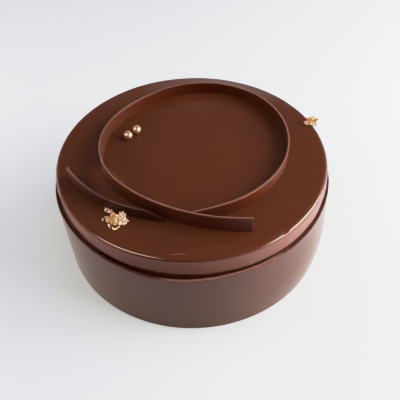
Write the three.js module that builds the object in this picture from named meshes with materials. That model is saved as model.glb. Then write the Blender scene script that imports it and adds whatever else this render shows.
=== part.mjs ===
// A round birthday cake under dark chocolate glaze. A band of chocolate is wrapped round its side, and on
// top lie a curled strip of chocolate, a second shorter strip, two gold pearls and two flakes of gold leaf.
// Millimetres and degrees, +Z up. The origin is the middle of the underside, and the front faces -Y.
import * as THREE from 'three'
import { mergeVertices } from 'three/addons/utils/BufferGeometryUtils.js'

// Driving dimensions
const ROUND_SIDES = 96

const CAKE_RADIUS = 82.6
const CAKE_HEIGHT = 62.8
const SHOULDER_RADIUS = 2.5
const SHOULDER_DIVISIONS = 3
const WAIST_RADIUS = 81.6
const WAIST_HEIGHT = 47
const FOOT_EDGE = 0.8

const BAND_RADIUS = 85
const BAND_WALL = 1.9
const BAND_HEIGHT = 50
const BAND_EDGE = 0.3
const LIP_PEAK = { rise: 2.2, at: -148, spread: 20 }
const LIP_DIP = { rise: -2.1, at: -98, spread: 19 }
const LIP_RIGHT = { rise: -0.5, at: -56, spread: 18 }

const STRIP_WALL = 1.4
const PATH_NUDGE = 1e-4
const LOOP_CENTRE = [3.1, 5.1]
const LOOP_RADIUS = 56.9
const LOOP_OVAL = 1.6
const LOOP_OVAL_AT = 43
const LOOP_CORNERS = 0.7
const LOOP_CORNERS_AT = 72
const LOOP_START = -68.4
const LOOP_SWEEP = 387
const LOOP_STEPS = 129
const FLARE = 18.6
const FLARE_SWEEP = 69.5
const CLOSING = 5.9
const CLOSING_FROM = 335
const CLOSING_TO = 384
const CLOSING_GAP = 1.75
const LOOP_HEIGHT = 10.2
const LOOP_BACK_DROP = 2.5
const DROP_FROM = 100
const DROP_TO = 175
const LOOP_END_RISE = 1.7
const END_RISE_FROM = 345
const LOOP_END_DIP = 1.5

const TAIL_CENTRE = [-5.1, 22]
const TAIL_RADIUS = 77.7
const TAIL_FROM = -150
const TAIL_TO = -97.4
const TAIL_STEPS = 32
const TAIL_HEIGHT = 7.6
const TAIL_SLOPE_FROM = -106
const TAIL_END_HEIGHT = 2

const PEARL_RADIUS = 2.85
const PEARL_SUNK = 0.15
const PEARL_SIDES = 24
const PEARL_PLACES = [[-39.4, 15.6], [-34.1, 20.9]]

const LEAF_SPOKES = 20
const LEAF_RINGS = 5
const LEAF_THICKNESS = 0.5
const LEAF_RIM = { mean: 0.84, tears: 0.1, nicks: 0.06 }
const LEAF_FOLDS = { main: 0.65, cross: 0.35, crossPitch: 1.3, crossShift: 0.4, sag: 0.45 }
const FRONT_LEAF = { centre: [-42.8, -53.6], reach: [7.6, 6.8], turn: 35, rise: 5.2, pleat: 5.2 }
const REAR_LEAF = { centre: [77.6, 22.4], reach: [5.4, 5], turn: 80, rise: 5.6, pleat: 4.6 }

const radians = THREE.MathUtils.degToRad
const degrees = THREE.MathUtils.radToDeg

// Materials of the pieces
const glaze = new THREE.MeshStandardMaterial({ color: 0x4f271b, roughness: 0.15, metalness: 0 })
const bandChocolate = new THREE.MeshStandardMaterial({ color: 0x573a30, roughness: 0.5, metalness: 0 })
const stripChocolate = new THREE.MeshStandardMaterial({ color: 0x4a2a1f, roughness: 0.35, metalness: 0 })
const pearlGold = new THREE.MeshStandardMaterial({ color: 0xc89b7c, roughness: 0.25, metalness: 1 })
const leafGold = new THREE.MeshStandardMaterial({ color: 0xdba852, roughness: 0.3, metalness: 1 })

// One closed skin with every shared corner merged
function closedSkin(geometry) {
  geometry.deleteAttribute('normal')
  geometry.deleteAttribute('uv')
  const skin = mergeVertices(geometry)
  skin.computeVertexNormals()
  return skin
}

// Moves each corner of a shape to where place(x, y, z) puts it
function reshape(geometry, place) {
  const corners = geometry.attributes.position
  for (let i = 0; i < corners.count; i += 1) {
    corners.setXYZ(i, ...place(corners.getX(i), corners.getY(i), corners.getZ(i)))
  }
  return geometry
}

// A profile of radius and height turned about the Z axis
function turned(profile, sides) {
  return new THREE.LatheGeometry(profile, sides).rotateX(Math.PI / 2)
}

// A smooth bump round the cake: its full rise at one bearing, fading over its spread to both sides
function bump(bearing, { rise, at, spread }) {
  const away = THREE.MathUtils.euclideanModulo(bearing - at + 180, 360) - 180
  return rise * Math.exp(-((away / spread) ** 2))
}

// The glazed cake: a side that draws in a little behind the band, a tight round shoulder and a level top
function cakeBody() {
  const profile = new THREE.Path()
    .moveTo(0, 0)
    .lineTo(WAIST_RADIUS - FOOT_EDGE, 0)
    .lineTo(WAIST_RADIUS, FOOT_EDGE)
    .lineTo(WAIST_RADIUS, WAIST_HEIGHT)
    .absarc(CAKE_RADIUS - SHOULDER_RADIUS, CAKE_HEIGHT - SHOULDER_RADIUS, SHOULDER_RADIUS, 0, Math.PI / 2)
    .lineTo(0, CAKE_HEIGHT)
    .getPoints(SHOULDER_DIVISIONS)
  return turned(profile, ROUND_SIDES)
}

// The chocolate band: a thin wall on the floor. Its cut lip stands higher at the left, and dips at the front
// and a little at the right.
function chocolateBand() {
  const inner = BAND_RADIUS - BAND_WALL
  const profile = new THREE.Path()
    .moveTo(inner, 0)
    .lineTo(BAND_RADIUS, 0)
    .lineTo(BAND_RADIUS, BAND_HEIGHT - BAND_EDGE)
    .lineTo(BAND_RADIUS - BAND_EDGE, BAND_HEIGHT)
    .lineTo(inner + BAND_EDGE, BAND_HEIGHT)
    .lineTo(inner, BAND_HEIGHT - BAND_EDGE)
    .lineTo(inner, 0)
    .getPoints()
  return reshape(turned(profile, ROUND_SIDES), (x, y, z) => {
    const bearing = degrees(Math.atan2(y, x))
    const wave = bump(bearing, LIP_PEAK) + bump(bearing, LIP_DIP) + bump(bearing, LIP_RIGHT)
    return [x, y, z > BAND_HEIGHT / 2 ? z + wave : z]
  })
}

// A strip standing on edge on the glaze: a long box bent along pathAt(t), as tall as heightAt(t), with t
// from 0 to 1
function standingStrip(pathAt, heightAt, steps) {
  return reshape(new THREE.BoxGeometry(1, 1, 1, steps, 1, 1), (x, y, z) => {
    const t = x + 0.5
    const along = pathAt(t + PATH_NUDGE).sub(pathAt(t - PATH_NUDGE)).normalize()
    const middle = pathAt(t)
    const across = y * STRIP_WALL
    const up = (z + 0.5) * heightAt(t)
    return [middle.x - along.y * across, middle.y + along.x * across, CAKE_HEIGHT + up]
  })
}

// How far the curled strip's free end stands out of the ring
const flare = (sweep) => FLARE * Math.max(0, 1 - sweep / FLARE_SWEEP) ** 2

// The curled strip: from its free end at the front right it runs clockwise through a full turn. Its distance
// from the middle is a slightly oval ring, opened out at the free end and eased out again where it closes
// against the inside of that end.
function loopPath(t) {
  const sweep = t * LOOP_SWEEP
  const bearing = LOOP_START - sweep
  const oval = LOOP_OVAL * Math.cos(radians(2 * (bearing - LOOP_OVAL_AT)))
  const corners = LOOP_CORNERS * Math.cos(radians(3 * (bearing - LOOP_CORNERS_AT)))
  const closing = CLOSING * Math.max(0, (sweep - CLOSING_FROM) / (CLOSING_TO - CLOSING_FROM)) ** 2
  const insideFreeEnd = sweep > 360 ? flare(sweep - 360) - CLOSING_GAP : Infinity
  const reach = LOOP_RADIUS + oval + corners + flare(sweep) + Math.min(closing, insideFreeEnd)
  const [x, y] = LOOP_CENTRE
  return new THREE.Vector2(x + reach * Math.cos(radians(bearing)), y + reach * Math.sin(radians(bearing)))
}

// It is cut widest at the front, narrower round the back and a little wider again where it closes, and it
// dips at its very end
function loopHeight(t) {
  const sweep = t * LOOP_SWEEP
  const drop = LOOP_BACK_DROP * THREE.MathUtils.smoothstep(sweep, DROP_FROM, DROP_TO)
  const rise = LOOP_END_RISE * THREE.MathUtils.smoothstep(sweep, END_RISE_FROM, CLOSING_TO)
  const dip = LOOP_END_DIP * THREE.MathUtils.smoothstep(sweep, CLOSING_TO, LOOP_SWEEP)
  return LOOP_HEIGHT - drop + rise - dip
}

// The shorter strip: an arc in front of the curl on the left, cut on a slant where it reaches the curl
const tailBearing = (t) => THREE.MathUtils.lerp(TAIL_FROM, TAIL_TO, t)

function tailPath(t) {
  const bearing = radians(tailBearing(t))
  const [x, y] = TAIL_CENTRE
  return new THREE.Vector2(x + TAIL_RADIUS * Math.cos(bearing), y + TAIL_RADIUS * Math.sin(bearing))
}

function tailHeight(t) {
  const slope = Math.max(0, (tailBearing(t) - TAIL_SLOPE_FROM) / (TAIL_TO - TAIL_SLOPE_FROM))
  return THREE.MathUtils.lerp(TAIL_HEIGHT, TAIL_END_HEIGHT, slope)
}

// A gold pearl, a ball with a small flat spot where it has sunk into the glaze
function pearl() {
  const level = PEARL_SUNK - PEARL_RADIUS
  const arc = new THREE.Path()
    .absarc(0, 0, PEARL_RADIUS, Math.asin(level / PEARL_RADIUS), Math.PI / 2)
    .getPoints(PEARL_SIDES / 4)
  arc.at(-1).x = 0
  const profile = [new THREE.Vector2(0, level), ...arc]
  return turned(profile, PEARL_SIDES).translate(0, 0, CAKE_HEIGHT - level)
}

// Straight pleats: 0 in the valleys and 1 on the folds
const pleats = (v) => Math.abs(THREE.MathUtils.euclideanModulo(v, 2) - 1)

// A flake of gold leaf: a thin lens with a ragged rim, pleated two ways and resting on the glaze in its
// valleys. The pleats sag towards the rim.
function goldLeaf({ centre, reach, turn, rise, pleat }) {
  const ball = new THREE.SphereGeometry(1, LEAF_SPOKES, 2 * LEAF_RINGS).rotateX(Math.PI / 2)
  return reshape(ball, (x, y, z) => {
    const latitude = Math.asin(THREE.MathUtils.clamp(z, -1, 1)) / (Math.PI / 2)
    const outward = 1 - Math.abs(latitude)
    const bearing = Math.atan2(y, x)
    const tears = LEAF_RIM.tears * Math.cos(3 * bearing + radians(turn))
    const ragged = LEAF_RIM.mean + tears + LEAF_RIM.nicks * Math.sin(7 * bearing)
    const across = outward * ragged * reach[0] * Math.cos(bearing)
    const deep = outward * ragged * reach[1] * Math.sin(bearing)
    const along = (across * Math.cos(radians(turn)) + deep * Math.sin(radians(turn))) / pleat
    const aside = (deep * Math.cos(radians(turn)) - across * Math.sin(radians(turn))) / pleat
    const cross = LEAF_FOLDS.cross * pleats(LEAF_FOLDS.crossPitch * aside + LEAF_FOLDS.crossShift)
    const folds = LEAF_FOLDS.main * pleats(along) + cross
    const crumple = rise * folds * (1 - LEAF_FOLDS.sag * outward)
    const skin = LEAF_THICKNESS * (0.5 + 0.5 * Math.sign(latitude) * (1 - outward ** 4))
    return [centre[0] + across, centre[1] + deep, CAKE_HEIGHT + crumple + skin]
  })
}

// The whole cake
const cake = new THREE.Group()
cake.name = 'birthday_cake'

function addPiece(name, geometry, material) {
  const mesh = new THREE.Mesh(closedSkin(geometry), material)
  mesh.name = name
  cake.add(mesh)
  return mesh
}

addPiece('cake_body', cakeBody(), glaze)
addPiece('chocolate_band', chocolateBand(), bandChocolate)
addPiece('loop_strip', standingStrip(loopPath, loopHeight, LOOP_STEPS), stripChocolate)
addPiece('tail_strip', standingStrip(tailPath, tailHeight, TAIL_STEPS), stripChocolate)
PEARL_PLACES.forEach(([x, y], i) => addPiece(`pearl_${i + 1}`, pearl(), pearlGold).position.set(x, y, 0))
addPiece('gold_leaf_front', goldLeaf(FRONT_LEAF), leafGold)
addPiece('gold_leaf_rear', goldLeaf(REAR_LEAF), leafGold)

export default cake
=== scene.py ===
# %% [markdown]
# # A birthday cake under mirror glaze
#
# This lesson dresses a round chocolate cake. The frame gives its eight solids in metres, each where it
# belongs. Every piece below is a finer surface of the same form, worked out with numpy from the same
# sizes: poured glaze, a satin band of chocolate, two standing strips, two gold pearls and two flakes of
# gold leaf.

import bmesh
import bpy
import numpy as np
from mathutils import Matrix, Quaternion, Vector


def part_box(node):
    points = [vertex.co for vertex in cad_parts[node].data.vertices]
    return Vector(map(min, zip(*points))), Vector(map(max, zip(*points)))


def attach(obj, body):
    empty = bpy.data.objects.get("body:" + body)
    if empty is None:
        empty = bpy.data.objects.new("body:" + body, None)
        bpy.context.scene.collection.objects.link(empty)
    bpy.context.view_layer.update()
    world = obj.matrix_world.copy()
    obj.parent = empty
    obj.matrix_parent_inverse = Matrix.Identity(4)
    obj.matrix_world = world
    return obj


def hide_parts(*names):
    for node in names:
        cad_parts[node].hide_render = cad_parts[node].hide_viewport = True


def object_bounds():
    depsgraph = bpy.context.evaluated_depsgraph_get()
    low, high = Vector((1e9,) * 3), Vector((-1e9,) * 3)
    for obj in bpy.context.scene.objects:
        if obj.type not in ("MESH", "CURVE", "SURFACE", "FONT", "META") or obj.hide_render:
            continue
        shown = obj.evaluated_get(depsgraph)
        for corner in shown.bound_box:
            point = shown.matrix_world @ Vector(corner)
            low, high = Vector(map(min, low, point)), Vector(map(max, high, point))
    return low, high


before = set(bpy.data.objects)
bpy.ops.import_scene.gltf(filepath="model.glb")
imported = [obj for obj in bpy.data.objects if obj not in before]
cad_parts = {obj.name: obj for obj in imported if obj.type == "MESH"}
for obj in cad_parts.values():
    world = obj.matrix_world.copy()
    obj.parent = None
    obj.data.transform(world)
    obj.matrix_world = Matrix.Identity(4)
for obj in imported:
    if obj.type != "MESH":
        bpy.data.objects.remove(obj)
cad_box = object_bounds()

MM = 0.001
print("solids:", ", ".join(sorted(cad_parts)))
print("box in mm:", [[round(v / MM, 1) for v in corner] for corner in cad_box])

# %% [markdown]
# ## The camera
#
# The camera could be set by eye, but a round cake gives it away: its top and foot are two circles, and
# their ovals in a picture fix how high, how far and how steeply the camera looks. It stands in front of
# the cake, looks down by almost 47 degrees, and leans a little to one side, as a camera in the hand does.

# %% Place the camera
CAMERA_PLACE = Vector((0, -235.1, 270.4)) * MM
CAMERA_PITCH = np.radians(46.85)
CAMERA_YAW = np.radians(1.06)
CAMERA_ROLL = np.radians(1.845)
CAMERA_LENS = 45.79

camera = bpy.data.objects.new("camera", bpy.data.cameras.new("camera"))
bpy.context.scene.collection.objects.link(camera)
bpy.context.scene.camera = camera
camera.data.lens = CAMERA_LENS
camera.data.clip_start = 10 * MM
turned_right = Matrix.Rotation(-CAMERA_YAW, 4, "Z")
tipped_down = Matrix.Rotation(np.pi / 2 - CAMERA_PITCH, 4, "X")
leaning = Matrix.Rotation(-CAMERA_ROLL, 4, "Z")
camera.matrix_world = Matrix.Translation(CAMERA_PLACE) @ turned_right @ tipped_down @ leaning
print("camera at", [round(v / MM) for v in CAMERA_PLACE], "mm")

# %% [markdown]
# ## Surfaces from arrays
#
# Every piece is a grid of points: a function of two parameters. One helper turns such a grid into a mesh.
# It closes the grid where its rows or columns run round, welds points that fall together, as at the
# middle of a disc, turns all faces outwards, hides the solid that it stands for and hangs the piece on
# the root body. It also keeps marks: numbers at the points that a finish can read, such as where
# chocolate was cut.


# %% A helper that makes a piece from grids of points
def grid_faces(rows, columns, rows_close, columns_close, first):
    """Corner numbers of the quads between neighbouring points of a grid, which count on from first."""
    numbers = first + np.arange(rows * columns).reshape(rows, columns)
    if rows_close:
        numbers = np.vstack([numbers, numbers[:1]])
    if columns_close:
        numbers = np.hstack([numbers, numbers[:, :1]])
    corners = numbers[:-1, :-1], numbers[:-1, 1:], numbers[1:, 1:], numbers[1:, :-1]
    return np.stack(corners, axis=-1).reshape(-1, 4)


def make_piece(name, grids, node, finish, rows_close=False, columns_close=False, marks=None):
    """One welded mesh of all grids, shape (rows, columns, 3), and for each mark a value at every point."""
    mesh = bpy.data.meshes.new(name)
    starts = np.cumsum([0] + [grid.shape[0] * grid.shape[1] for grid in grids])
    faces = [
        grid_faces(*grid.shape[:2], rows_close, columns_close, first) for grid, first in zip(grids, starts)
    ]
    points = np.vstack([grid.reshape(-1, 3) for grid in grids])
    mesh.from_pydata(points, [], np.vstack(faces).tolist())
    for mark, values in (marks or {}).items():
        attribute = mesh.attributes.new(mark, "FLOAT", "POINT")
        attribute.data.foreach_set("value", np.concatenate([value.ravel() for value in values]))
    weld_and_face_outwards(mesh)
    mesh.materials.append(finish)
    piece = bpy.data.objects.new(name, mesh)
    bpy.context.scene.collection.objects.link(piece)
    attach(piece, "root")
    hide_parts(node)
    size = (points.max(0) - points.min(0)) / MM
    print(f"{name}: {len(mesh.polygons)} faces, {size.round(1)} mm")
    return piece


WELD = 0.001 * MM
SHARP = np.radians(50)


def weld_and_face_outwards(mesh):
    """Joins points closer than WELD, closes open ends, turns faces outwards and smooths blunt edges."""
    work = bmesh.new()
    work.from_mesh(mesh)
    bmesh.ops.remove_doubles(work, verts=work.verts, dist=WELD)
    open_edges = [edge for edge in work.edges if edge.is_boundary]
    bmesh.ops.holes_fill(work, edges=open_edges)
    bmesh.ops.recalc_face_normals(work, faces=work.faces)
    work.to_mesh(mesh)
    work.free()
    mesh.polygons.foreach_set("use_smooth", np.ones(len(mesh.polygons), bool))
    mesh.set_sharp_from_angle(angle=SHARP)


# %% [markdown]
# ## Unevenness
#
# Poured glaze and cut chocolate are never quite even. Random numbers at every point would look like
# gravel, so the unevenness is a sum of sine waves of about one length, each with its own direction and
# start. The draw is seeded, so the cake comes out the same each time.


# %% Smooth seeded unevenness
WAVE_COUNT = 20


def uneven(x, y, length, seed):
    """Sum of plane sine waves about one length long, in random directions: mostly between -1 and 1."""
    draw = np.random.default_rng(seed)
    angle = draw.uniform(0, 2 * np.pi, WAVE_COUNT)
    start = draw.uniform(0, 2 * np.pi, WAVE_COUNT)
    stretch = length * draw.uniform(0.6, 1.6, WAVE_COUNT)
    along = x[..., None] * np.cos(angle) + y[..., None] * np.sin(angle)
    return np.sin(2 * np.pi * along / stretch + start).sum(-1) / np.sqrt(WAVE_COUNT)


def uneven_round(bearing, radius, rise, length, seed):
    """The same waves, rise tall, as they are met on a walk round a circle."""
    return rise * uneven(radius * np.cos(bearing), radius * np.sin(bearing), length, seed)


def swell(bearing, rise, at, spread):
    """A bell of height rise at one bearing that fades to both sides. At and spread are in degrees."""
    away = (bearing - np.radians(at) + np.pi) % (2 * np.pi) - np.pi
    return rise * np.exp(-((away / np.radians(spread)) ** 2))


def smooth_step(value, low, high):
    """0 below low, 1 above high, and 3 t squared less 2 t cubed between them."""
    t = np.clip((value - low) / (high - low), 0, 1)
    return t * t * (3 - 2 * t)


# %% [markdown]
# ## Shader sums in Python
#
# A finish is a tree of nodes, and its sums are easier to read as Python. The class below stands for one
# socket: adding or multiplying two of them adds a Math node, and one method adds any other node.


# %% A class for shader sums
ANY_HEIGHT = 1000


class Wire:
    """One socket in a finish. Sums of wires and numbers add Math nodes, so 1 - mask reads as it looks."""

    def __init__(self, tree, socket=None):
        self.tree = tree
        self.socket = socket

    def node(self, kind, settings=None, sockets=None, out=0):
        """Adds a node, sets its settings and then its sockets, and gives one of its outputs."""
        made = self.tree.nodes.new("ShaderNode" + kind)
        for name, value in (settings or {}).items():
            setattr(made, name, value)
        for name, value in (sockets or {}).items():
            if isinstance(value, Wire):
                self.tree.links.new(value.socket, made.inputs[name])
            else:
                made.inputs[name].default_value = value
        return Wire(self.tree, made.outputs[out])

    def sum_node(self, operation, left, right):
        return self.node("Math", {"operation": operation}, {0: left, 1: right})

    def __add__(self, other):
        return self.sum_node("ADD", self, other)

    def __sub__(self, other):
        return self.sum_node("SUBTRACT", self, other)

    def __rsub__(self, other):
        return self.sum_node("SUBTRACT", other, self)

    def __mul__(self, other):
        return self.sum_node("MULTIPLY", self, other)

    __radd__ = __add__
    __rmul__ = __mul__

    def between(self, low, high):
        """0 below low and 1 above high, eased between them."""
        sockets = {"Value": self, "From Min": low, "From Max": high}
        return self.node("MapRange", {"interpolation_type": "SMOOTHSTEP"}, sockets)

    def mix(self, first, second):
        """The first colour where this wire is 0 and the second where it is 1."""
        return self.node("Mix", {"data_type": "RGBA"}, {0: self, 6: first, 7: second}, out=2)

    def noise(self, size, detail=2.0):
        """Noise on Object coordinates, with clouds about size metres across."""
        place = self.node("TexCoord", out="Object")
        place = self.node("Mapping", None, {"Vector": place, "Scale": [1 / size] * 3})
        return self.node("TexNoise", None, {"Vector": place, "Scale": 1.0, "Detail": detail})

    def spot(self, x, y, long, wide, turn=0):
        """1 inside an oval on the plan and 0 outside it, its place and size in mm, its turn in degrees."""
        oval = {"Location": (x * MM, y * MM, 0), "Rotation": (0, 0, np.radians(turn))}
        oval["Scale"] = (long / 2 * MM, wide / 2 * MM, ANY_HEIGHT)
        oval["Vector"] = self.node("TexCoord", out="Object")
        inside = self.node("Mapping", {"vector_type": "TEXTURE"}, oval)
        away = self.node("VectorMath", {"operation": "LENGTH"}, {0: inside}, out="Value")
        return 1 - away.between(0.4, 1.0)

    def bump(self, height, distance):
        return self.node("Bump", None, {"Height": height, "Distance": distance, "Strength": 1.0})

    def attribute(self, name):
        return self.node("Attribute", {"attribute_name": name}, out="Fac")

    def shade(self, **sockets):
        """Ends the tree in a Principled surface; words in a socket's name are joined by underscores."""
        named = {name.replace("_", " ").title(): value for name, value in sockets.items()}
        named = {name.replace("Ior", "IOR"): value for name, value in named.items()}
        surface = self.node("BsdfPrincipled", None, named)
        output = self.tree.nodes.new("ShaderNodeOutputMaterial")
        self.tree.links.new(surface.socket, output.inputs["Surface"])


def new_finish(name):
    """An empty finish and a wire to start its tree from."""
    finish = bpy.data.materials.new(name)
    finish.use_nodes = True
    finish.node_tree.nodes.clear()
    return finish, Wire(finish.node_tree)


def colour(red, green, blue):
    """A colour given as 0 to 255, as a picture shows it, in the linear values that a shader takes."""
    shown = np.array([red, green, blue]) / 255
    linear = np.where(shown < 0.04045, shown / 12.92, ((shown + 0.055) / 1.055) ** 2.4)
    return (*linear, 1.0)


# %% [markdown]
# ## The floor
#
# The cake stands on a plain pale floor, a single square. Its far part glows as brightly as the
# background, so that low views show no dark horizon. A curved backdrop would hide the horizon too, but it
# would have to turn with the camera.

# %% The floor
FLOOR_REACH = 6.0
FOOT_TO_FLOOR = 0.095, 0.12
FLOOR_TO_HORIZON = 0.5, 0.9

floor_finish, wire = new_finish("pale_floor")
paper = wire.noise(0.4)
place = wire.node("TexCoord", out="Object")
far = wire.node("VectorMath", {"operation": "LENGTH"}, {0: place}, out="Value")
near_colour = paper.mix(colour(187, 187, 184), colour(184, 184, 181))
far_colour = paper.mix(colour(187, 190, 199), colour(184, 187, 196))
floor_colour = far.between(*FOOT_TO_FLOOR).mix(near_colour, far_colour)
horizon = far.between(*FLOOR_TO_HORIZON).mix(colour(0, 0, 0), colour(219, 223, 229))
wire.shade(
    base_color=floor_colour, roughness=0.9, specular_ior_level=0.0,
    emission_color=horizon, emission_strength=1.0,
)
corners = [(-FLOOR_REACH, -FLOOR_REACH, 0), (FLOOR_REACH, -FLOOR_REACH, 0)]
corners += [(FLOOR_REACH, FLOOR_REACH, 0), (-FLOOR_REACH, FLOOR_REACH, 0)]
floor_mesh = bpy.data.meshes.new("floor")
floor_mesh.from_pydata(corners, [], [(0, 1, 2, 3)])
floor_mesh.materials.append(floor_finish)
floor = bpy.data.objects.new("floor", floor_mesh)
bpy.context.scene.collection.objects.link(floor)
print("floor:", 2 * FLOOR_REACH, "m across")

# %% [markdown]
# ## The lights
#
# Glossy glaze mirrors every lamp as a hard rectangle, so the lamps here are hidden from mirror images and
# only light the surfaces. Large windows on the right give most of the light, a wall on the left the rest,
# two low cards brighten the band, and a dim ceiling and a front panel soften the shadows of the standing
# strips.

# %% Soft lights
LIGHTS = {
    "right_window": dict(bearing=-16, height=25, away=0.75, wide=0.5, tall=0.5, glow=15.5),
    "far_right_window": dict(bearing=15, height=26, away=0.62, wide=0.55, tall=0.5, glow=11.0),
    "right_card": dict(bearing=-11, height=-6, away=0.4, wide=0.2, tall=0.05, glow=76.0),
    "left_wall": dict(bearing=175, height=12, away=0.75, wide=0.5, tall=0.4, glow=14.5),
    "left_card": dict(bearing=165, height=-6, away=0.4, wide=0.2, tall=0.05, glow=36.0),
    "ceiling": dict(bearing=-90, height=80, away=0.9, wide=0.8, tall=0.8, glow=2.0),
    "front_panel": dict(bearing=-90, height=45, away=0.75, wide=0.3, tall=0.3, glow=5.4),
}


def towards(bearing, height):
    """The direction of a bearing and a height, both in degrees."""
    round_, up = np.radians(bearing), np.radians(height)
    return Vector((np.cos(up) * np.cos(round_), np.cos(up) * np.sin(round_), np.sin(up)))


def soft_light(name, bearing, height, away, wide, tall, glow):
    """A rectangle that faces the cake's top from a bearing and a height in degrees, glowing evenly."""
    lamp = bpy.data.lights.new(name, "AREA")
    lamp.shape = "RECTANGLE"
    lamp.size = wide
    lamp.size_y = tall
    lamp.energy = glow * np.pi * wide * tall
    light = bpy.data.objects.new(name, lamp)
    bpy.context.scene.collection.objects.link(light)
    way = towards(bearing, height)
    light.location = way * away + Vector((0, 0, cad_box[1].z))
    light.rotation_euler = way.to_track_quat("Z", "Y").to_euler()
    light.visible_camera = False
    light.visible_glossy = False
    print(f"{name}: {lamp.energy:.1f} W")


for name, place in LIGHTS.items():
    soft_light(name, **place)

# %% [markdown]
# ## The room that the glaze mirrors
#
# What a mirror glaze shows is the room: here a pale wall low down at the back, a dim rest, one bright
# patch to the left and one to the right, and a faint haze round each. A picture of a room would do the
# same, but sums on the direction of a ray need no file. Only rays that come straight from a shiny surface
# see the patches, so they add gloss and no light.

# %% Directions in the room
room = bpy.data.worlds.new("room")
bpy.context.scene.world = room
room.use_nodes = True
room.node_tree.nodes.clear()
wire = Wire(room.node_tree)
way = wire.node("TexCoord", out="Generated")


def share_along(axis):
    """How much of a direction in the room points along one axis."""
    return wire.node("VectorMath", {"operation": "DOT_PRODUCT"}, {0: way, 1: axis}, out="Value")


def patch(bearing, height, lean, wide, tall, glow):
    """An oval glow about one direction: its half width and half height in degrees, its long way leaning."""
    turned = towards(bearing, height).to_track_quat("Z", "Y") @ Quaternion((0, 0, 1), np.radians(lean))
    across = share_along(turned @ Vector((1, 0, 0))) * (1 / np.sin(np.radians(wide)))
    upward = share_along(turned @ Vector((0, 1, 0))) * (1 / np.sin(np.radians(tall)))
    ahead = share_along(turned @ Vector((0, 0, 1))).between(0, 0.2)
    return glow * ahead * (1 - (across * across + upward * upward).between(0.3, 1.0))


# %% The room's light
ROOM_GLOW = 0.03
ROOM_SHEEN = 0.045
WALL_GLOW = 2.0
WALL_SHADE = 0.3
WALL_ACROSS = 0.99, -0.12, 0
WALL_MIDDLE = 0.001, 0.04
WALL_DIMMED = 0.8
WALL_ENDS = 0.2, 0.85
WALL_TOP = 0.49, 0.61
BACKGROUND_GLOW = 0.85
GLEAMS = {
    "left": dict(bearing=-152, height=47, lean=27, wide=23, tall=8, glow=24.0),
    "right": dict(bearing=-12, height=6, lean=0, wide=34, tall=22, glow=28.0),
    "left_haze": dict(bearing=178, height=14, lean=0, wide=50, tall=32, glow=0.85),
    "right_haze": dict(bearing=0, height=15, lean=0, wide=55, tall=35, glow=0.7),
}

to_side = share_along(WALL_ACROSS)
off_middle = (to_side * to_side).between(*WALL_MIDDLE)
at_back = share_along((0, 1, 0)).between(*WALL_ENDS) * (1 - WALL_DIMMED * off_middle)
low_down = 1 - share_along((0, 0, 1)).between(*WALL_TOP)
seen = wire.node("LightPath", out="Is Camera Ray")
mirrored = wire.node("LightPath", out="Is Glossy Ray")
mirrored_once = mirrored * (1 - wire.node("LightPath", out="Ray Depth").between(2, 3))
wall_light = WALL_SHADE + (WALL_GLOW - WALL_SHADE) * mirrored
gleam = mirrored_once * sum(patch(**place) for place in GLEAMS.values())
room_light = ROOM_GLOW + ROOM_SHEEN * mirrored + wall_light * at_back * low_down + gleam
strength = seen * BACKGROUND_GLOW + (1 - seen) * room_light
tint = gleam.between(0, 1).mix(colour(236, 240, 247), colour(255, 218, 206))
light = wire.node("Background", None, {"Color": tint, "Strength": strength})
output = room.node_tree.nodes.new("ShaderNodeOutputWorld")
room.node_tree.links.new(light.socket, output.inputs["Surface"])
print("patches of light:", ", ".join(GLEAMS))

# %% [markdown]
# ## The film
#
# A camera rolls its whites off gently, so a pale floor keeps its tone beside a bright window. Blender's
# Filmic view does that as well, but it greys the browns. Here the Standard view keeps all tones up to a
# light grey, and one curve bends the whites.

# %% The film's curve
FILM_CURVE = [(0, 0), (0.35, 0.35), (0.62, 0.6), (1.0, 0.76), (1.6, 0.86), (3.0, 0.96), (6.0, 1.0)]

film = bpy.context.scene.view_settings
film.view_transform = "Standard"
film.use_curve_mapping = True
film.curve_mapping.clip_max_x = FILM_CURVE[-1][0]
curve = film.curve_mapping.curves[3]
curve.points[1].location = FILM_CURVE[-1]
for point in FILM_CURVE[1:-1]:
    curve.points.new(*point)
film.curve_mapping.update()
print("film curve:", len(FILM_CURVE), "points")

# %% [markdown]
# ## The glaze
#
# Mirror glaze is a dark brown jelly under a clear skin, so its finish is a rough brown body with a smooth
# coat. On the side the glaze is thin and has lost its mirror in the cold, so there the coat goes, and a
# painted sheen makes the side paler where it faces the lamps. Marks at the points say where: the side, the
# painted sheen, and the dark line above the band, which is the dark cake below the glaze with painted shade
# on it, together with a painted dark line under the shoulder. A few oval spots stand for a painted
# highlight streak, a speck and a nick, and for painted light on the glaze between the two strips, whose
# walls throw light back on it.

# %% The glaze finish
glaze, wire = new_finish("mirror_glaze")
pool = wire.noise(0.03)
fleck = wire.noise(0.0006, detail=1.0)
side = wire.attribute("side")
# Dark cake under the glaze's lower edge with painted shade on it, and a painted dark line under the
# shoulder.
crumb_and_painted_shade = wire.attribute("crumb_and_painted_shade")
# Painted sheen: the side is paler and greyer where it faces the lamps.
side_colour = wire.attribute("painted_side_sheen").mix(colour(82, 50, 40), colour(102, 75, 68))
# A pale streak near the front rim is a painted highlight.
painted_streak = wire.spot(-9, -77.7, long=14, wide=0.9)
speck = wire.spot(25.1, -12.3, long=1.6, wide=0.9, turn=30)
nick = wire.spot(68.2, 45, long=5, wide=1.3, turn=123)
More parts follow.
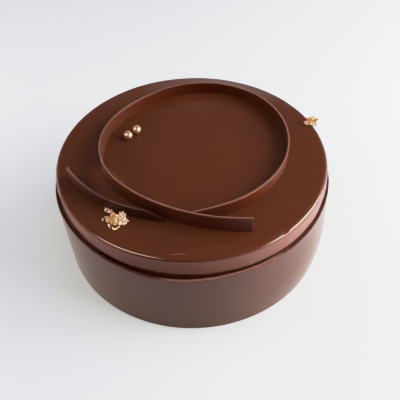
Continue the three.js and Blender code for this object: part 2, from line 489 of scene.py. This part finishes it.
# Painted light: paler glaze between the strips, for light their walls throw back and their shadow painted
# away.
painted_light_between_strips = wire.spot(-47.5, -27.5, long=56, wide=22, turn=-57)
top_colour = pool.mix(colour(54, 24, 11), colour(59, 27, 13))
top_colour = (0.8 * painted_light_between_strips).mix(top_colour, colour(86, 43, 27))
top_colour = (0.3 * painted_streak + 0.6 * speck).mix(top_colour, colour(118, 82, 70))
top_colour = nick.mix(top_colour, colour(24, 8, 4))
body_colour = crumb_and_painted_shade.mix(side.mix(top_colour, side_colour), colour(56, 18, 6))
mirror = (1 - side) * (1 - nick) * (1 - 0.15 * fleck.between(0.6, 0.75))
ripple = wire.bump(wire.noise(0.006, detail=1.0), 0.02 * MM)
wire.shade(
    base_color=body_colour, roughness=0.5 + 0.2 * fleck, normal=ripple, ior=1.16,
    coat_weight=mirror, coat_roughness=0.035, coat_ior=1.48,
)
print("glaze:", len(glaze.node_tree.nodes), "nodes")

# %% [markdown]
# ## The glazed cake
#
# A mousse cake gets its mirror by pouring warm glaze over it while it is frozen. The glaze levels itself
# on top, turns a tight shoulder and runs down the side. A lathe would give a perfect drum; here the same
# profile is turned, and every point is then moved a hair along its normal for the pool on top, the runs
# down the side and the small faults on the shoulder.

# %% The cake's profile
SHOULDER = 2.5 * MM
WAIST_RADIUS = 81.6 * MM
WAIST_HEIGHT = 47 * MM
FOOT_EDGE = 0.8 * MM
FOOT_ROWS = 5
WAIST_ROWS = 7
SIDE_ROWS = 40
SHOULDER_ROWS = 25
TOP_ROWS = 65

cake_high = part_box("cake_body")[1]
cake_radius = cake_high.x
cake_top = cake_high.z


def cake_profile():
    """Radius and height: out under the cake, up its side, round the shoulder and in to the top's middle."""
    shoulder = np.linspace(0, np.pi / 2, SHOULDER_ROWS)
    inside = cake_radius - SHOULDER
    radius = [
        np.linspace(0, WAIST_RADIUS - FOOT_EDGE, FOOT_ROWS),
        np.full(WAIST_ROWS, WAIST_RADIUS),
        np.linspace(WAIST_RADIUS, cake_radius, SIDE_ROWS)[1:-1],
        inside + SHOULDER * np.cos(shoulder),
        np.linspace(inside, 0, TOP_ROWS + 1)[1:],
    ]
    height = [
        np.zeros(FOOT_ROWS),
        np.linspace(FOOT_EDGE, WAIST_HEIGHT, WAIST_ROWS),
        np.linspace(WAIST_HEIGHT, cake_top - SHOULDER, SIDE_ROWS)[1:-1],
        cake_top - SHOULDER + SHOULDER * np.sin(shoulder),
        np.full(TOP_ROWS, cake_top),
    ]
    return np.concatenate(radius)[:, None], np.concatenate(height)[:, None]


profile_radius, profile_height = cake_profile()
print("profile:", len(profile_radius), "points")

# %% The glaze's relief
POOL_RISE = 0.05 * MM
POOL = dict(length=38 * MM, seed=3)
RUNS = dict(rise=0.08 * MM, length=14 * MM, seed=5)
RUNS_FROM = 6 * MM
WAIST_BULGE = dict(rise=1.0 * MM, at=-28, spread=42)
WAIST_BULGES_FROM = 9 * MM
GLAZED_WITHIN = 4 * MM
GLAZE_ENDS = 49.5 * MM
GLAZE_FRONT = dict(rise=0.8 * MM, at=-100, spread=32)
CRUMBS = dict(rise=0.2 * MM, length=5 * MM, seed=6)
SOFT_EDGE = 0.3 * MM
RECESS = 0.8 * MM
FAULTS_FADE = 1.5 * MM
SHOULDER_FAULTS = [
    (62.4, 0.9, dict(rise=-0.5 * MM, at=-54.4, spread=1.5)),
    (58.2, 2.2, dict(rise=-0.12 * MM, at=-56.4, spread=0.6)),
    (62.2, 1.0, dict(rise=-0.15 * MM, at=33.4, spread=1.6)),
]


def shoulder_faults(bearing, height):
    """A dent, the groove below it and a nick: bells round the cake, each times a bell in height."""
    return sum(
        swell(bearing, **place) * np.exp(-(((height - middle * MM) / (tall * MM)) ** 2))
        for middle, tall, place in SHOULDER_FAULTS
    )


def under_glaze(bearing, height):
    """1 under the glaze's crumbly lower edge and 0 above it."""
    ends = GLAZE_ENDS + swell(bearing, **GLAZE_FRONT) + uneven_round(bearing, cake_radius, **CRUMBS)
    return 1 - smooth_step(height - ends, -SOFT_EDGE, SOFT_EDGE)


def glaze_relief(bearing, radius, height):
    """Pool on top, runs and a bulge on the side, faults on the shoulder, less the hollow below it all."""
    pool = POOL_RISE * uneven(radius * np.cos(bearing), radius * np.sin(bearing), **POOL)
    runs = uneven_round(bearing, cake_radius, **RUNS)
    down = cake_top - height
    on_side = np.clip(down / RUNS_FROM, 0, 1)
    waist = swell(bearing, **WAIST_BULGE) * smooth_step(down, SHOULDER, WAIST_BULGES_FROM)
    glazed = smooth_step(height, WAIST_HEIGHT - GLAZED_WITHIN, WAIST_HEIGHT + GLAZED_WITHIN)
    near_edge = smooth_step(radius, cake_radius - SHOULDER - FAULTS_FADE, cake_radius - SHOULDER)
    relief = glazed * (pool * (1 - on_side) + runs * on_side + waist)
    relief = relief + near_edge * shoulder_faults(bearing, height)
    return relief - RECESS * under_glaze(bearing, height) * (height > FOOT_EDGE)


# %% The glaze's marks
SIDE_FROM = cake_top - SHOULDER + 0.4 * MM
SIDE_LEFT = dict(rise=1.1 * MM, at=-149, spread=21)
# A painted dark line under the right shoulder's highlight stands for a dark reflection.
SIDE_DARK_LINE = dict(rise=0.7, at=-42, spread=34)
DARK_LINE_TALL = 0.25 * MM
# Less painted shade on the right, where light reaches the line above the band.
SHADE_LIFTED_RIGHT = dict(rise=0.7, at=-44, spread=38)
# Painted sheen on the side, towards the left and the right lamps.
SIDE_SHEEN_LEFT = dict(rise=0.45, at=-138, spread=22)
SIDE_SHEEN_RIGHT = dict(rise=0.95, at=-30, spread=34)


def glaze_marks(bearing, height):
    """Side: a step in height. Dark cake with painted shade, and painted sheen: steps times bells round the
    cake. A painted dark line: a thin bell.
    """
    below = SIDE_FROM + swell(bearing, **SIDE_LEFT) - height
    side = smooth_step(below, -SOFT_EDGE, 0)
    painted_dark_line = swell(bearing, **SIDE_DARK_LINE) * np.exp(-((below / DARK_LINE_TALL) ** 2))
    crumb_and_painted_shade = under_glaze(bearing, height) * (1 - swell(bearing, **SHADE_LIFTED_RIGHT))
    painted_side_sheen = swell(bearing, **SIDE_SHEEN_LEFT) + swell(bearing, **SIDE_SHEEN_RIGHT)
    return {"side": [side], "crumb_and_painted_shade": [crumb_and_painted_shade + painted_dark_line], "painted_side_sheen": [side * painted_side_sheen]}


# %% The glazed cake's surface
CAKE_COLUMNS = 600


def turned_cake(bearing, radius, height):
    """The profile turned about Z, each point moved along the profile's normal by the glaze's relief."""
    out, up = np.gradient(radius, axis=0), np.gradient(height, axis=0)
    length = np.hypot(out, up)
    relief = glaze_relief(bearing, radius, height)
    radius = radius + relief * (up / length)
    height = height - relief * (out / length)
    return np.stack([radius * np.cos(bearing), radius * np.sin(bearing), height], axis=-1)


cake_bearing = np.linspace(0, 2 * np.pi, CAKE_COLUMNS, endpoint=False)
cake_grid = turned_cake(cake_bearing, profile_radius, profile_height)
make_piece(
    "glazed_cake", [cake_grid], "cake_body", glaze,
    columns_close=True, marks=glaze_marks(cake_bearing, profile_height),
)

# %% [markdown]
# ## The chocolate
#
# Tempered chocolate sets with a satin skin where it touched the film or the marble, and is pale and rough
# where a knife cut it. One function makes both chocolates of this cake. It reads three marks: cut; a
# painted sheen, where a wall faces the lamps; and a painted shade, darker than elsewhere, where a wall or a
# lip lies in shade. A piece without a mark reads 0 for it. Two finishes made apart would do as well, but
# they would say most things twice.

# %% The chocolate finishes
# The colour of a painted sheen where a wall faces the lamps.
SHEEN_COLOUR = 56, 32, 21


def chocolate(name, dark, pale, cut_colour, shade_colour, roughness, ior, haze=0.0):
    """Clouds of two browns, mixed in turn towards a painted sheen, the cut and a painted shade colour by
    their marks.
    """
    finish, wire = new_finish(name)
    cloud = wire.noise(0.012, detail=3.0)
    grain = wire.noise(0.0008, detail=2.0)
    cut = wire.attribute("cut")
    skin = cloud.mix(colour(*dark), colour(*pale))
    skin = wire.attribute("painted_sheen").mix(skin, colour(*SHEEN_COLOUR))
    face = wire.attribute("painted_shade").mix(cut.mix(skin, colour(*cut_colour)), colour(*shade_colour))
    rough = roughness - 0.04 + 0.08 * cloud + 0.3 * cut
    relief = wire.bump(grain * (0.15 + 0.85 * cut), 0.06 * MM)
    wire.shade(
        base_color=face, roughness=rough, normal=relief, ior=ior, sheen_weight=haze, sheen_roughness=0.25
    )
    print(f"{name}: {len(finish.node_tree.nodes)} nodes")
    return finish


band_finish = chocolate(
    "satin_band", dark=(63, 36, 26), pale=(68, 39, 29), cut_colour=(97, 65, 55), shade_colour=(50, 24, 19),
    roughness=0.2, ior=1.24,
)
strip_finish = chocolate(
    "tempered_strip", dark=(50, 16, 4), pale=(56, 19, 6), cut_colour=(88, 58, 46), shade_colour=(38, 14, 5),
    roughness=0.32, ior=1.42, haze=0.035,
)

# %% [markdown]
# ## The chocolate band
#
# A band is tempered chocolate spread on a strip of film and wrapped round the cake while it is soft. Its
# outside copies the film and is satin smooth; its upper lip is where the spatula stopped, a little wavy
# and rough. A lathe can't make a lip that rises and falls, so a closed section is carried round the cake,
# with the lip's height a function of the bearing. Behind the lip the narrow gap to the cake is almost
# full, and open only at the front.

# %% The band's lip
BAND_HEIGHT = 50 * MM
LIP_PEAK = dict(rise=2.2 * MM, at=-148, spread=20)
LIP_DIP = dict(rise=-2.1 * MM, at=-98, spread=19)
LIP_RIGHT = dict(rise=-0.5 * MM, at=-56, spread=18)
LIP_WAVES = [
    dict(rise=0.12 * MM, length=7 * MM, seed=11),
    dict(rise=0.12 * MM, length=1.6 * MM, seed=12),
]

band_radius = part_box("chocolate_band")[1].x


def lip_height(bearing):
    """The level lip with its swell, its two dips and the small waves of a knife."""
    level = BAND_HEIGHT + sum(swell(bearing, **each) for each in (LIP_PEAK, LIP_DIP, LIP_RIGHT))
    return level + sum(uneven_round(bearing, band_radius, **waves) for waves in LIP_WAVES)


# %% The band's section
BAND_WALL = 1.9 * MM
LIP_EDGE = BAND_WALL * 0.2
OUTSIDE_ROWS = 16
OUTSIDE_UP_TO = 0.97
CORNER_ROWS = 6
GAP_FLOOR = 82.0 * MM
GAP_TOP = 0.999
GAP_ROWS = 6


def band_section():
    """Radius, drop and share of the lip's height: up the outside, over the round lip and down the gap."""
    quarter = np.linspace(0, np.pi / 2, CORNER_ROWS)
    inner = band_radius - BAND_WALL
    radius = [
        np.full(OUTSIDE_ROWS, band_radius),
        band_radius - LIP_EDGE + LIP_EDGE * np.cos(quarter),
        inner + LIP_EDGE - LIP_EDGE * np.sin(quarter),
        np.full(GAP_ROWS, GAP_FLOOR),
    ]
    drop = [
        np.zeros(OUTSIDE_ROWS),
        LIP_EDGE * (1 - np.sin(quarter)),
        LIP_EDGE * (1 - np.cos(quarter)),
        np.zeros(GAP_ROWS),
    ]
    share = [
        np.linspace(0, OUTSIDE_UP_TO, OUTSIDE_ROWS),
        np.ones(2 * CORNER_ROWS),
        np.linspace(GAP_TOP, 0, GAP_ROWS),
    ]
    return [np.concatenate(rows)[:, None] for rows in (radius, drop, share)]


section_radius, section_drop, section_share = band_section()
print("band section:", len(section_radius), "points")

# %% The band's surface
BAND_COLUMNS = 720
LIP_SLOPE = dict(rise=0.6 * MM, at=-150, spread=34)
BAND_BULGE = dict(rise=1.6 * MM, at=-22, spread=36)
BELLY_FOOT = 0.5
BELLY_GROWS = 6
BELLY_FADES = 1.8
BAND_SWAY = dict(rise=0.1 * MM, length=60 * MM, seed=13)
GAP_DEPTH = 0.2 * MM
GAP_FRONT = dict(rise=5 * MM, at=-99, spread=26)


def wrapped_band(bearing, radius, drop, share):
    """The section carried round: its lip slopes inwards at the left, its foot bulges out at the right."""
    inwards = np.clip((band_radius - LIP_EDGE - radius) / (BAND_WALL - LIP_EDGE), 0, 1) * (share == 1)
    in_gap = radius < band_radius - BAND_WALL
    gap = (GAP_DEPTH + swell(bearing, **GAP_FRONT)) * in_gap
    height = share * (lip_height(bearing) - gap) - drop - inwards * swell(bearing, **LIP_SLOPE)
    belly = (BELLY_FOOT + BELLY_GROWS * share) * (1 - share) ** BELLY_FADES
    sway = uneven_round(bearing, band_radius, **BAND_SWAY)
    radius = radius + sway * share + belly * swell(bearing, **BAND_BULGE)
    return np.stack([radius * np.cos(bearing), radius * np.sin(bearing), height], axis=-1)


# %% The band's marks and the band
LIP_PALE_FROM = -106, -100
LIP_PALE_TO = -62, -48
# How much painted shade lip and gap get at the left; at the right and the back they get it in full.
LEFT_LIP_SHADE = 0.6
LIP_LEVEL = 0.05 * LIP_EDGE


def band_marks(bearing, drop, share):
    """The lip is cut and pale at the front only: steps in the bearing. Elsewhere lip and gap get painted
    shade.
    """
    turned = np.degrees((bearing + np.pi) % (2 * np.pi) - np.pi)
    past_left = smooth_step(turned, *LIP_PALE_FROM)
    past_front = smooth_step(turned, *LIP_PALE_TO)
    lip = (share == 1) & (drop < LIP_LEVEL)
    lip_and_gap = (share >= GAP_TOP) & (drop < LIP_LEVEL)
    cut = lip * (past_left * (1 - past_front))
    painted_shade = lip_and_gap * (past_front + LEFT_LIP_SHADE * (1 - past_left))
    return {"cut": [cut], "painted_shade": [painted_shade]}


band_bearing = np.linspace(0, 2 * np.pi, BAND_COLUMNS, endpoint=False)
band_grid = wrapped_band(band_bearing, section_radius, section_drop, section_share)
make_piece(
    "wrapped_band", [band_grid], "chocolate_band", band_finish,
    rows_close=True, columns_close=True, marks=band_marks(band_bearing, section_drop, section_share),
)

# %% [markdown]
# ## The standing strips
#
# Two ribbons of tempered chocolate stand on edge on the glaze. The long one curls through a full turn;
# the short one leans in from the left and is cut on a slant. A curve with a bevel could make them, but its
# section would get thicker wherever it gets taller. So a section with rounded top corners is carried along
# a path on the plan, as tall at each point as the strip is there.

# %% A strip carried along a path
STRIP_WALL = 1.4 * MM
STRIP_EDGE = 0.48 * MM
STRIP_SUNK = 0.3 * MM
STRIP_ROWS = 5
WALL_UP_TO = 0.96
OUTER_WALL = slice(0, STRIP_ROWS)
INNER_WALL = slice(3 * STRIP_ROWS, 4 * STRIP_ROWS)


def standing_strip(path, height):
    """A section with round top corners at every point of the path; its flat top has the mark cut."""
    along = np.gradient(path, axis=0)
    along /= np.linalg.norm(along, axis=1)[:, None]
    aside = np.stack([-along[:, 1], along[:, 0]], axis=-1)
    half = STRIP_WALL / 2
    quarter = np.linspace(0, np.pi / 2, STRIP_ROWS)
    right = half - STRIP_EDGE + STRIP_EDGE * np.cos(quarter)
    drop = STRIP_EDGE * (1 - np.sin(quarter))
    wall = np.linspace(0, WALL_UP_TO, STRIP_ROWS)
    level = np.zeros(STRIP_ROWS)
    across = np.concatenate([np.full(STRIP_ROWS, half), right, -right[::-1], np.full(STRIP_ROWS, -half)])
    lowered = np.concatenate([level, drop, drop[::-1], level])[:, None]
    share = np.concatenate([wall, np.ones(2 * STRIP_ROWS), wall[::-1]])[:, None]
    place = path[None, :, :] + across[:, None, None] * aside[None, :, :]
    foot = np.where(share == 0, -STRIP_SUNK, 0)
    rise = cake_top + foot + share * height - lowered
    flat_top = (share == 1) & (lowered < 0.05 * STRIP_EDGE)
    cut = np.broadcast_to(flat_top, rise.shape).astype(float)
    return np.concatenate([place, rise[..., None]], axis=-1), cut


# %% The curled strip's path
LOOP_CENTRE = np.array([3.1, 5.1]) * MM
LOOP_RADIUS = 56.9 * MM
LOOP_OVAL = 1.6 * MM
LOOP_OVAL_AT = np.radians(43)
LOOP_CORNERS = 0.7 * MM
LOOP_CORNERS_AT = np.radians(72)
LOOP_START = -68.4
FLARE = 18.6 * MM
FLARE_SWEEP = 69.5
CLOSING = 5.9 * MM
CLOSING_FROM = 335
CLOSING_TO = 384
CLOSING_GAP = 1.75 * MM


def flare(sweep):
    """How far the free end stands out of the ring: a square that falls to nothing over FLARE_SWEEP."""
    return FLARE * np.clip(1 - sweep / FLARE_SWEEP, 0, None) ** 2


def loop_path(sweep):
    """A slightly oval ring, run clockwise: it opens at its free end and closes inside that end."""
    bearing = np.radians(LOOP_START - sweep)
    ring = LOOP_RADIUS + LOOP_OVAL * np.cos(2 * (bearing - LOOP_OVAL_AT))
    ring = ring + LOOP_CORNERS * np.cos(3 * (bearing - LOOP_CORNERS_AT))
    closing = CLOSING * np.clip((sweep - CLOSING_FROM) / (CLOSING_TO - CLOSING_FROM), 0, None) ** 2
    inside_free_end = np.where(sweep > 360, flare(sweep - 360) - CLOSING_GAP, np.inf)
    reach = ring + flare(sweep) + np.minimum(closing, inside_free_end)
    return LOOP_CENTRE + reach[:, None] * np.stack([np.cos(bearing), np.sin(bearing)], axis=-1)


# %% The curled strip's surface
LOOP_SWEEP = 387
LOOP_STEPS = 640
LOOP_HEIGHT = 10.2 * MM
LOOP_BACK_DROP = 2.5 * MM
LOOP_BACK_DROPS = 100, 175
LOOP_END_RISE = 1.7 * MM
LOOP_END_RISES = 345, CLOSING_TO
LOOP_END_DIP = 1.5 * MM
LOOP_END_DIPS = CLOSING_TO, LOOP_SWEEP

sweep = np.linspace(0, LOOP_SWEEP, LOOP_STEPS)
loop_height = LOOP_HEIGHT - LOOP_BACK_DROP * smooth_step(sweep, *LOOP_BACK_DROPS)
loop_height = loop_height + LOOP_END_RISE * smooth_step(sweep, *LOOP_END_RISES)
loop_height = loop_height - LOOP_END_DIP * smooth_step(sweep, *LOOP_END_DIPS)
loop_grid, loop_cut = standing_strip(loop_path(sweep), loop_height)
print("curled strip:", (loop_height.max() / MM).round(1), "mm tall at most")

# %% The curled strip's marks
# The cut edge is less pale at the back of the loop.
BACK_EDGE_LESS_PALE = dict(rise=0.35, at=200, spread=60)
# Painted light: a little of the pale cut colour on the free end's wall, where the lamps fall on it.
FREE_END = 4, 20
FREE_END_PAINTED_LIGHT = 0.1
# Painted shade: on the outer wall where it runs in behind the free end, and on the inner wall that faces
# away from the right-hand lamps.
SHADED_JUNCTION = 350, 372
SHADE_STRENGTH = 0.9
SHADE_INSIDE = dict(rise=SHADE_STRENGTH, at=LOOP_START + 8, spread=40)
# Painted sheen where walls face the lamps: outside at the right front and at the left, inside at the left.
SHEEN_RIGHT = dict(rise=0.9, at=LOOP_START + 40, spread=13)
SHEEN_LEFT = dict(rise=0.5, at=85, spread=24)
SHEEN_INSIDE = dict(rise=0.8, at=LOOP_START + 186, spread=40)

turn = np.radians(sweep)
loop_cut = loop_cut * (1 - swell(turn, **BACK_EDGE_LESS_PALE))
loop_cut[OUTER_WALL] += FREE_END_PAINTED_LIGHT * (1 - smooth_step(sweep, *FREE_END))
loop_cut[:, 0] = 1.0
# Painted shade on the strip's walls.
loop_shade = np.zeros_like(loop_cut)
loop_shade[OUTER_WALL] = SHADE_STRENGTH * smooth_step(sweep, *SHADED_JUNCTION)
loop_shade[INNER_WALL] = swell(turn, **SHADE_INSIDE)
# Painted sheen on the strip's walls.
loop_sheen = np.zeros_like(loop_cut)
loop_sheen[OUTER_WALL] = swell(turn, **SHEEN_RIGHT) + swell(turn, **SHEEN_LEFT)
loop_sheen[INNER_WALL] = swell(turn, **SHEEN_INSIDE)
make_piece(
    "curled_strip", [loop_grid], "loop_strip", strip_finish,
    rows_close=True, marks={"cut": [loop_cut], "painted_sheen": [loop_sheen], "painted_shade": [loop_shade]},
)

# %% The slanted strip's surface
TAIL_CENTRE = np.array([-5.1, 22]) * MM
TAIL_RADIUS = 77.7 * MM
TAIL_FROM = -150
TAIL_TO = -97.4
TAIL_STEPS = 160
TAIL_HEIGHT = 7.6 * MM
TAIL_SLOPE_FROM = -106
TAIL_END_HEIGHT = 2 * MM

tail_bearing = np.linspace(TAIL_FROM, TAIL_TO, TAIL_STEPS)
tail_round = np.radians(tail_bearing)
tail_path = TAIL_CENTRE + TAIL_RADIUS * np.stack([np.cos(tail_round), np.sin(tail_round)], axis=-1)
tail_height = np.interp(tail_bearing, [TAIL_SLOPE_FROM, TAIL_TO], [TAIL_HEIGHT, TAIL_END_HEIGHT])
tail_grid, tail_cut = standing_strip(tail_path, tail_height)
print("slanted strip:", (tail_height.max() / MM).round(1), "mm tall at most")

# %% The slanted strip's marks
# Painted shadow: from the left tip towards the curled strip the slanted strip's cut edge fades and its
# walls grow darker. Its inner wall, which faces the curled strip, has painted shade all along.
TAIL_CUT_FADES = -150, -119
TAIL_CHIP = dict(rise=0.4, at=-140.4, spread=1.8)
TAIL_CHIP_ROWS = slice(16, 18)

tail_shadowed = smooth_step(tail_bearing, *TAIL_CUT_FADES)
tail_cut = tail_cut * (1 - tail_shadowed)
tail_cut[TAIL_CHIP_ROWS] += swell(tail_round, **TAIL_CHIP)
tail_shade = np.tile(SHADE_STRENGTH * tail_shadowed, (len(tail_cut), 1))
tail_shade[INNER_WALL] = SHADE_STRENGTH
make_piece(
    "slanted_strip", [tail_grid], "tail_strip", strip_finish,
    rows_close=True, marks={"cut": [tail_cut], "painted_shade": [tail_shade]},
)

# %% [markdown]
# ## The gold pearls
#
# The pearls are sugar balls with a skin of edible gold. Blender has balls ready made, but a ball is also
# the simplest surface of two parameters, latitude and bearing, and then the small flat spot where it has
# sunk into the glaze is one word more.

# %% The pearl finish and the pearls
PEARL_COLUMNS = 48

pearl_finish, wire = new_finish("rose_gold_pearl")
grain = wire.noise(0.0005)
pearl_colour = wire.noise(0.003).mix(colour(214, 164, 134), colour(226, 180, 152))
wire.shade(
    base_color=pearl_colour, metallic=0.88, roughness=0.32 + 0.1 * grain, normal=wire.bump(grain, 0.02 * MM)
)


def pearl_surface(low, high):
    """A ball as wide as its box, from latitude -90 to 90 degrees, cut flat at the box's floor."""
    centre = (low + high) / 2
    radius = (high.x - low.x) / 2
    latitude = np.linspace(-np.pi / 2, np.pi / 2, PEARL_COLUMNS // 2 + 1)[:, None]
    bearing = np.linspace(0, 2 * np.pi, PEARL_COLUMNS, endpoint=False)[None, :]
    x = centre.x + radius * np.cos(latitude) * np.cos(bearing)
    y = centre.y + radius * np.cos(latitude) * np.sin(bearing)
    z = np.maximum(high.z - radius + radius * np.sin(latitude), low.z) + 0 * bearing
    return np.stack([x, y, z], axis=-1)


for node in ("pearl_1", "pearl_2"):
    grid = pearl_surface(*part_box(node))
    make_piece("gold_" + node, [grid], node, pearl_finish, columns_close=True)

# %% [markdown]
# ## The gold leaf
#
# Gold leaf is so thin that it crumples at a breath and stays as it falls: torn flakes and shreds that
# touch the glaze in a few places. One sheet could be crumpled by a cloth simulation; here every flake is
# a thin torn disc, creased by folded waves of three lengths and tilted, and every shred is a ribbon along
# a bent line, so that each lies where it should. The gold is amber, and a painted reflection of the pale
# room makes it rosy white; the mark amber says how much of each a piece has.

# %% The leaf finish
leaf_finish, wire = new_finish("crumpled_gold")
crinkle = wire.noise(0.0013, detail=4.0).between(0.36, 0.64)
# Rosy white is a painted reflection of the pale room on the gold.
rosy_reflection = crinkle.mix(colour(206, 152, 120), colour(255, 238, 222))
amber = crinkle.mix(colour(190, 118, 42), colour(248, 204, 120))
wire.shade(
    base_color=wire.attribute("amber").mix(rosy_reflection, amber), metallic=0.4, roughness=0.25 + 0.2 * crinkle,
    normal=wire.bump(crinkle, 0.3 * MM),
)
print("leaf:", len(leaf_finish.node_tree.nodes), "nodes")

# %% A crumpled flake
FLAKE_SPOKES = 112
FLAKE_RINGS = 20
FLAKE_LIFT = 0.05 * MM
FOIL = 0.08 * MM
RIM = 0.85
TEARS = [(3, 0.09), (5, 0.08), (8, 0.07), (13, 0.06), (21, 0.05)]
CREASES = [(3.2, 0.5), (1.5, 0.4), (0.8, 0.22)]


def set_down(across, deep, lifted, x, y, facing):
    """Turns a shape about the vertical, moves it to its place on the plan and lets it touch the glaze."""
    turn = np.radians(facing)
    east = x * MM + across * np.cos(turn) - deep * np.sin(turn)
    north = y * MM + across * np.sin(turn) + deep * np.cos(turn)
    return np.stack([east, north, cake_top + FLAKE_LIFT + lifted - lifted.min()], axis=-1)


def flake(x, y, wide, deep, tilt, facing, seed, taper=0.0):
    """A disc with a torn rim, stretched, drawn in towards its far edge, creased and tilted."""
    draw = np.random.default_rng(seed)
    bearing = np.linspace(0, 2 * np.pi, FLAKE_SPOKES, endpoint=False)
    rim = RIM + sum(depth * np.sin(count * bearing + draw.uniform(0, 2 * np.pi)) for count, depth in TEARS)
    outward = np.concatenate([np.linspace(0, 1, FLAKE_RINGS), np.linspace(1, 0, FLAKE_RINGS)[1:]])[:, None]
    layer = np.concatenate([np.ones(FLAKE_RINGS), -np.ones(FLAKE_RINGS - 1)])[:, None]
    far = outward * rim * np.sin(bearing)
    across = wide * MM * outward * rim * np.cos(bearing) * (1 - taper * far)
    length = deep * MM * far
    folds = sum(
        size * MM * np.abs(uneven(across, length, pitch * MM, seed + step))
        for step, (pitch, size) in enumerate(CREASES, 1)
    )
    raised = folds + layer * FOIL / 2 * (1 - outward ** 6)
    lean = np.radians(tilt)
    lifted = np.cos(lean) * raised + np.sin(lean) * length
    return set_down(across, np.cos(lean) * length - np.sin(lean) * raised, lifted, x, y, facing)


# %% A torn shred
SHRED_STEPS = 24
SHRED_SIDES = 8
SHRED_LIFT = 0.1 * MM
WANDER = 0.15 * MM
WANDER_LENGTH = 0.3
SHRED_CURL = 0.25
CURL_LENGTH = 0.2
SHRED_THICK = 0.4
SHRED_LEAN = 0.5


def shred(bends, width, seed, lift=0.4):
    """A ribbon with an oval section along the bends, narrow at both ends and lifted in its middle."""
    t = np.linspace(0, 1, SHRED_STEPS)
    knots = np.linspace(0, 1, len(bends))
    path = np.stack([np.interp(t, knots, places) for places in zip(*bends)], axis=-1) * MM
    wander = [uneven(t, 0 * t, WANDER_LENGTH, seed + axis) for axis in (0, 1)]
    path = path + WANDER * np.stack(wander, axis=-1)
    along = np.gradient(path, axis=0)
    along /= np.linalg.norm(along, axis=1)[:, None]
    sideways = np.stack([-along[:, 1], along[:, 0]], axis=-1)
    turn = np.linspace(0, 2 * np.pi, SHRED_SIDES, endpoint=False)
    half = width * MM / 2 * np.sqrt(1 - (2 * t - 1) ** 2)
    aside = half[:, None] * np.cos(turn)
    place = path[:, None, :] + aside[..., None] * sideways[:, None, :]
    curl = uneven(t, 0 * t, CURL_LENGTH, seed + 2)
    rise = lift * MM * np.sin(np.pi * t) + SHRED_CURL * half * curl
    height = rise[:, None] + SHRED_THICK * half[:, None] * np.sin(turn) + SHRED_LEAN * aside
    return np.concatenate([place, (cake_top + SHRED_LIFT + height - height.min())[..., None]], axis=-1)


# %% Where flakes and shreds lie, each with how amber it is
FRONT_FLAKES = [
    (0.2, dict(x=-38.9, y=-53.6, wide=3.5, deep=4.2, tilt=44, facing=0, seed=21, taper=0.45)),
    (0.5, dict(x=-41.2, y=-54.4, wide=2.2, deep=3.3, tilt=48, facing=12, seed=26, taper=0.2)),
    (0.9, dict(x=-43.3, y=-53.4, wide=2.2, deep=3.8, tilt=32, facing=-8, seed=22)),
    (0.5, dict(x=-44.4, y=-49.8, wide=1.5, deep=1.7, tilt=20, facing=25, seed=27)),
    (0.25, dict(x=-46.3, y=-46.3, wide=2.2, deep=1.0, tilt=15, facing=-14, seed=23)),
    (0.3, dict(x=-46.6, y=-52.6, wide=1.8, deep=2.1, tilt=18, facing=20, seed=24)),
    (0.1, dict(x=-49.4, y=-52.4, wide=0.6, deep=1.1, tilt=25, facing=-20, seed=25)),
]
FRONT_SHREDS = [
    (0.1, dict(bends=[(-47.3, -47.2), (-48.9, -45.9), (-48.3, -44.3), (-46.6, -44.9)], width=0.7, seed=41)),
    (0.1, dict(bends=[(-48.9, -44.3), (-48.6, -43.6)], width=0.9, seed=42)),
    (0.2, dict(bends=[(-48.9, -51.2), (-48.2, -50.2), (-46.9, -50.2)], width=0.5, seed=43)),
    (0.3, dict(bends=[(-46.4, -54.8), (-46.0, -56.6), (-45.3, -58.2)], width=0.6, seed=44)),
    (0.5, dict(bends=[(-44.3, -57.3), (-43.2, -59.2), (-42.3, -59.2), (-39.9, -57.3)], width=0.8, seed=45)),
]
REAR_FLAKES = [
    (0.7, dict(x=78.6, y=22.4, wide=3.9, deep=3.5, tilt=48, facing=-12, seed=31, taper=-0.2)),
    (0.05, dict(x=75.2, y=22.5, wide=2.4, deep=1.9, tilt=28, facing=30, seed=32)),
    (0.3, dict(x=79.8, y=20.6, wide=2.0, deep=1.8, tilt=30, facing=-40, seed=33)),
]
REAR_SHREDS = [
    (0.2, dict(bends=[(79.2, 23.6), (80.2, 24.4), (80.9, 24.8)], width=0.7, seed=46, lift=1.6)),
]
print("flakes:", len(FRONT_FLAKES + REAR_FLAKES), "and shreds:", len(FRONT_SHREDS + REAR_SHREDS))

# %% The two leaves
for name, node, flakes, shreds in (
    ("front_leaf", "gold_leaf_front", FRONT_FLAKES, FRONT_SHREDS),
    ("rear_leaf", "gold_leaf_rear", REAR_FLAKES, REAR_SHREDS),
):
    grids = [flake(**each) for _, each in flakes] + [shred(**each) for _, each in shreds]
    tones = [tone for tone, _ in flakes + shreds]
    amber = [np.full(grid.shape[:2], tone) for grid, tone in zip(grids, tones)]
    make_piece(name, grids, node, leaf_finish, columns_close=True, marks={"amber": amber})
